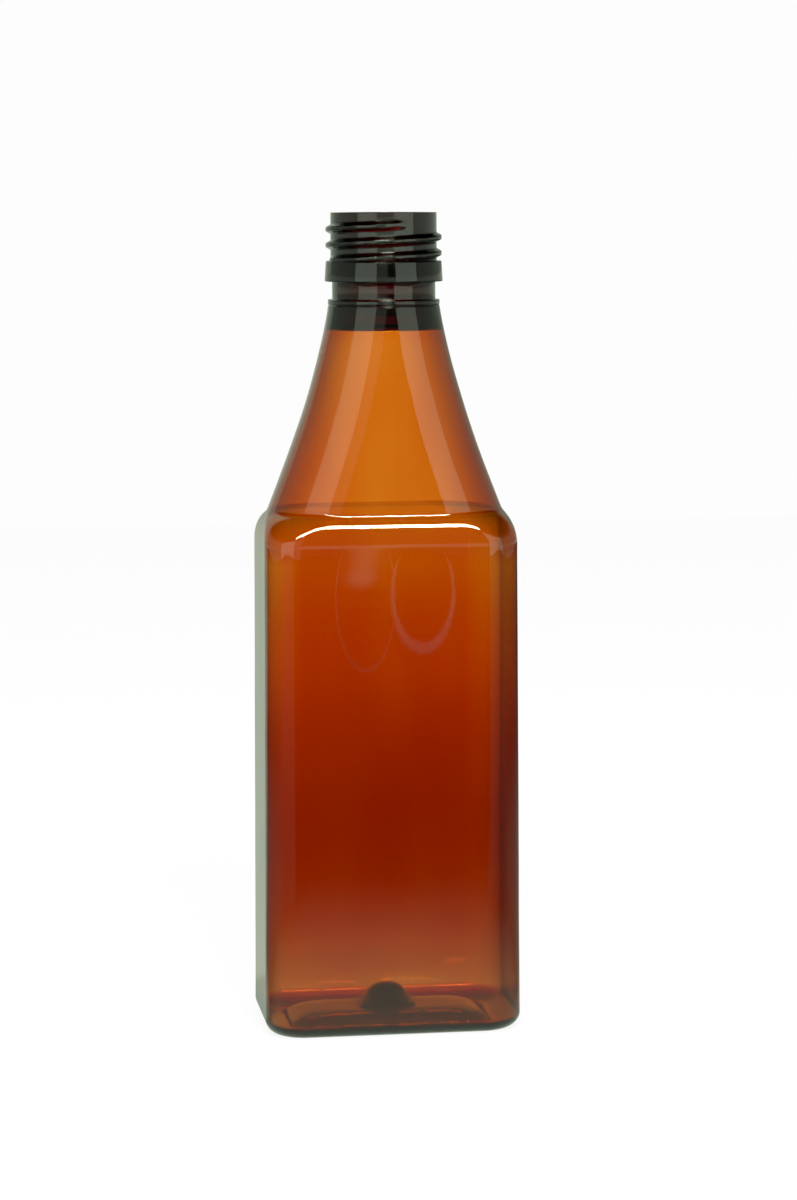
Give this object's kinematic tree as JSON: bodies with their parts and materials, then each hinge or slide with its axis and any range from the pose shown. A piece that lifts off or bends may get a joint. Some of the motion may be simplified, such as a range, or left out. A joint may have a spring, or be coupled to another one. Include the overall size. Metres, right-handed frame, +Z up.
{
  "type": "flat plastic bottle",
  "caption": "Empty amber clear-plastic flat bottle with rounded-rectangular body, long sloping shoulder and a narrow screw neck, without its cap; holds a pourable food or drink.",
  "frame": {"origin": "middle of the base, on the plane it stands on", "axes": "+Z up along the neck, +X along the bottle's width, -Y towards the broad front face"},
  "size_m": [0.0612, 0.039, 0.194],
  "materials": {
    "amber_plastic": "clear amber PET, stretch blow-moulded, glossy inside and out"
  },
  "bodies": {
    "root": {"bottle": "amber_plastic"}
  },
  "joints": []
}
